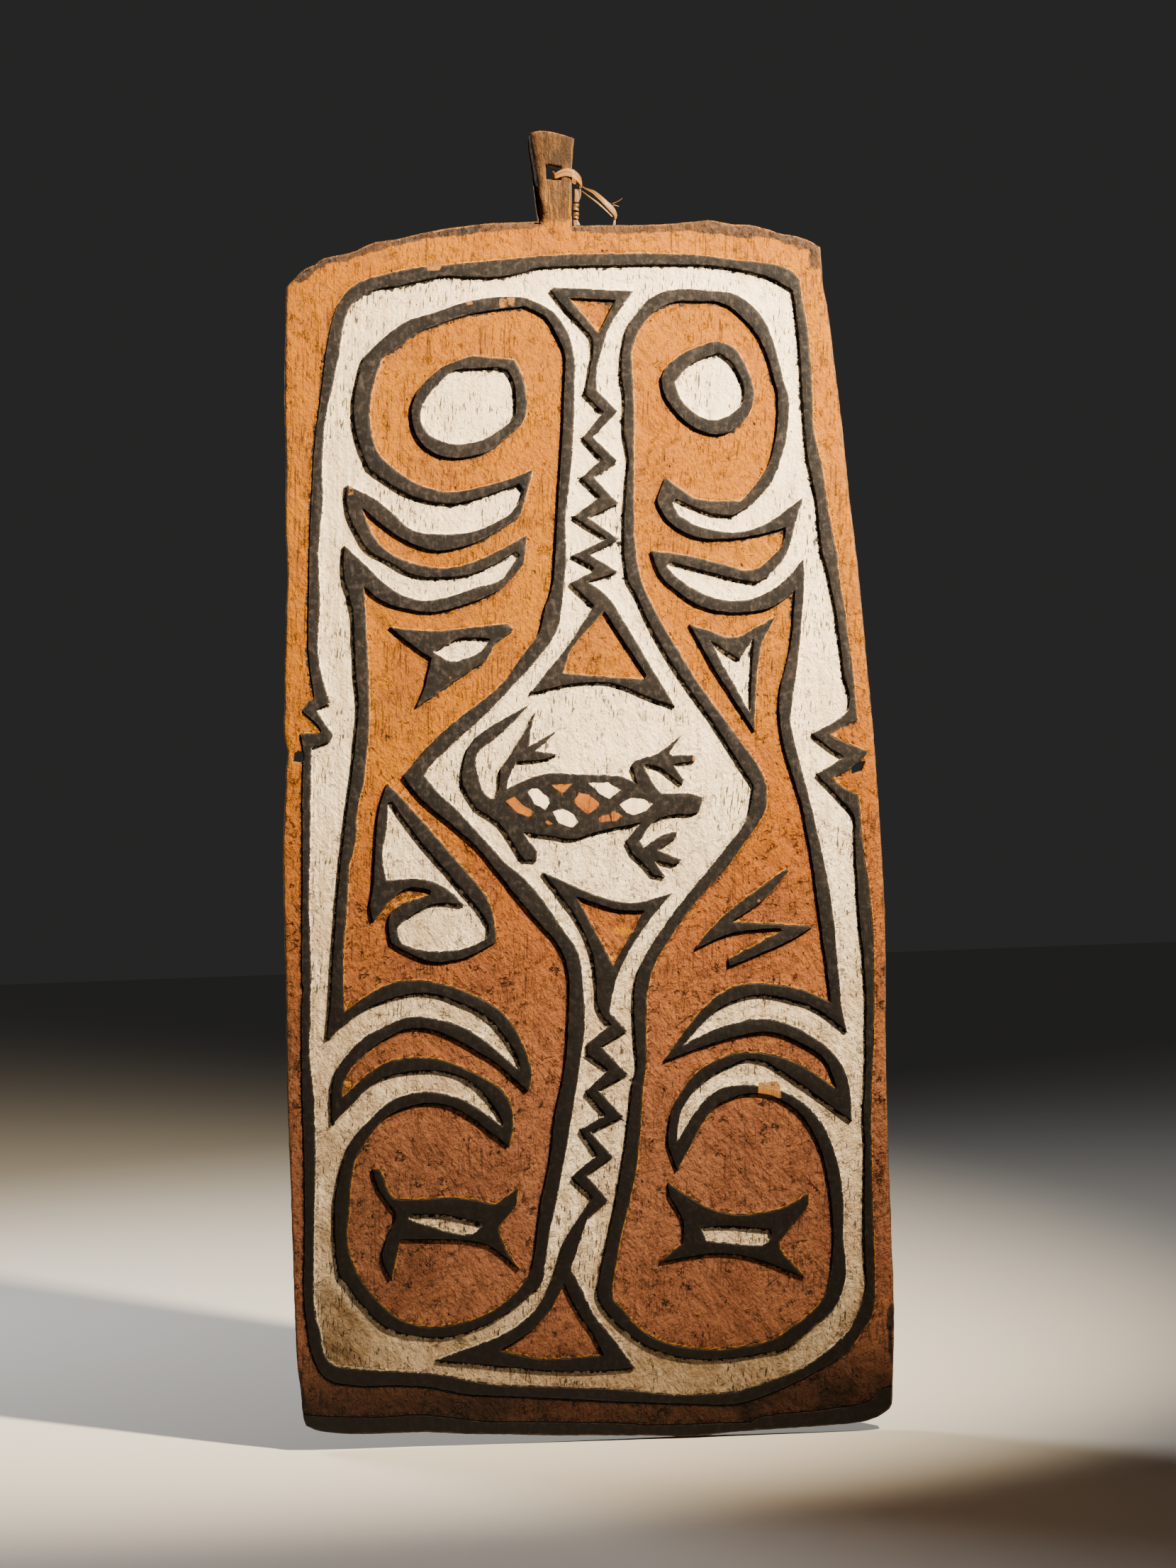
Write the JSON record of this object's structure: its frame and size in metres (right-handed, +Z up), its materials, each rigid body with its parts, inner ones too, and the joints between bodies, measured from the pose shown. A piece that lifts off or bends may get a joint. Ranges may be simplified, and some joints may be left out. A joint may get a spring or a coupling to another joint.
{
  "type": "wooden shield",
  "caption": "Tall hewn plank shield with carved relief bands, a small tab at the top with a square hole, and a lashing of split cane through it.",
  "frame": {"origin": "on the flat back face, on the board's centreline, halfway up the board without its tab", "axes": "+Z up along the board towards the tab, the carved front faces -Y, the back faces +Y, +X to the right as seen from the front"},
  "size_m": [0.6466, 0.0245, 1.4023],
  "materials": {
    "painted_wood": "carved wood with worn black, white and orange earth paint",
    "cane": "split cane, slightly glossy skin",
    "dark_cane": "weathered inner cane, matte"
  },
  "bodies": {
    "root": {"plank": "painted_wood", "cane_loop": "cane", "cane_bundle": "cane", "cane_turn_upper": "cane", "cane_turn_lower": "cane", "cane_flap": "cane", "cane_tail": "cane", "cane_tail_split": "cane", "cane_strand": "dark_cane", "cane_fibre_upper": "cane", "cane_fibre_lower": "cane"}
  },
  "joints": []
}
